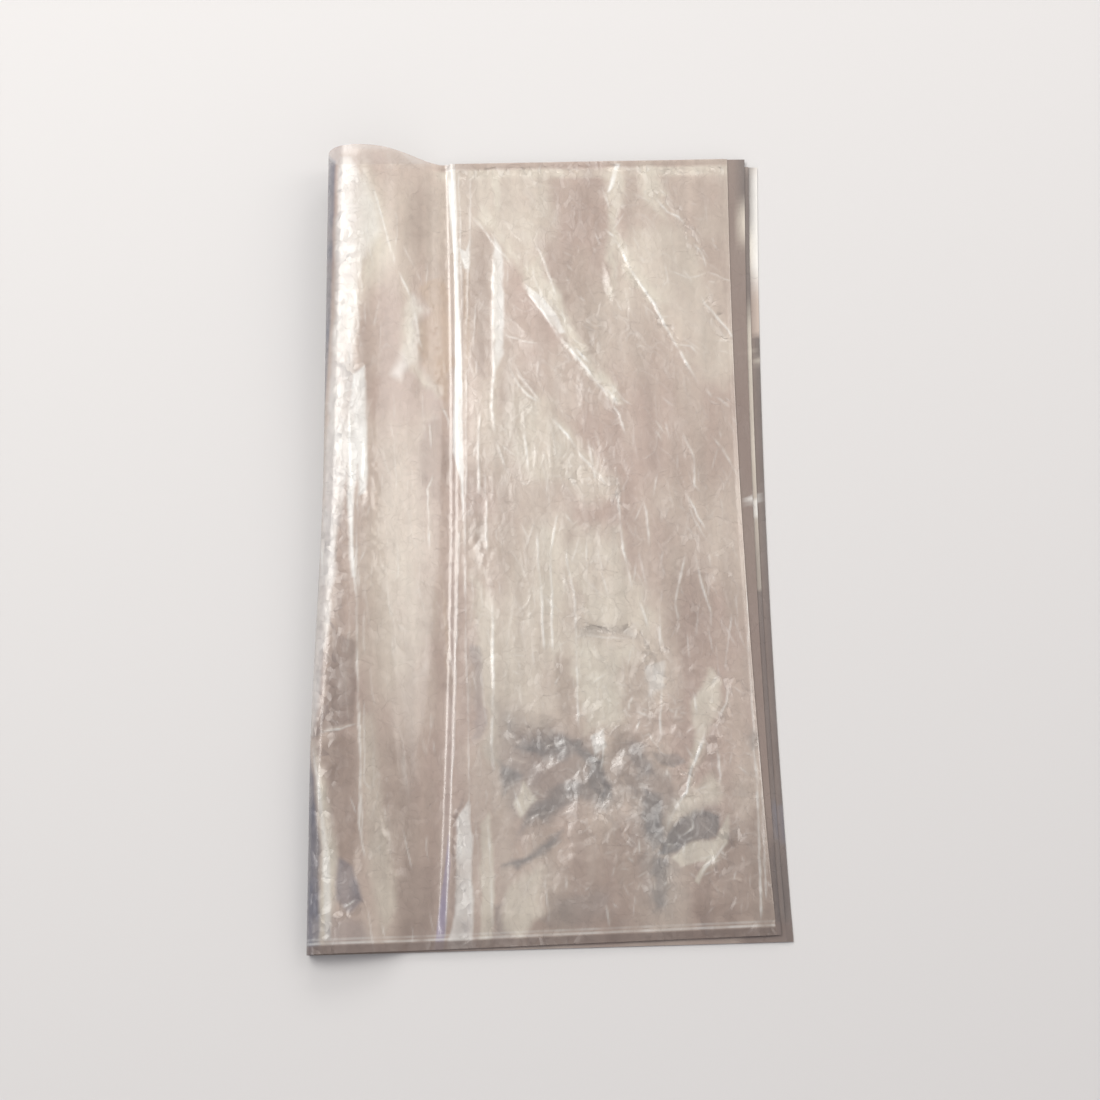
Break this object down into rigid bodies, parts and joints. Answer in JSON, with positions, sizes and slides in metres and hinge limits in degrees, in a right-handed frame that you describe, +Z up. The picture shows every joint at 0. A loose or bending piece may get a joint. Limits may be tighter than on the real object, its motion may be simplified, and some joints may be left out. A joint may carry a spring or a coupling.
{
  "type": "plastic carrier bag",
  "caption": "Clear film bag with wide side gussets, folded in half along its length and lying flat, with a soft open roll at the fold and stepped side creases.",
  "frame": {"origin": "centre of the folded bag's footprint, on the surface that it lies on", "axes": "+Z up, +Y along the bag from its welded bottom to its mouth, +X from the rolled fold to the side creases"},
  "size_m": [0.226, 0.4018, 0.0267],
  "materials": {
    "clear_film": "clear glossy crinkled film, several plies deep"
  },
  "bodies": {
    "root": {"bag": "clear_film"}
  },
  "joints": []
}
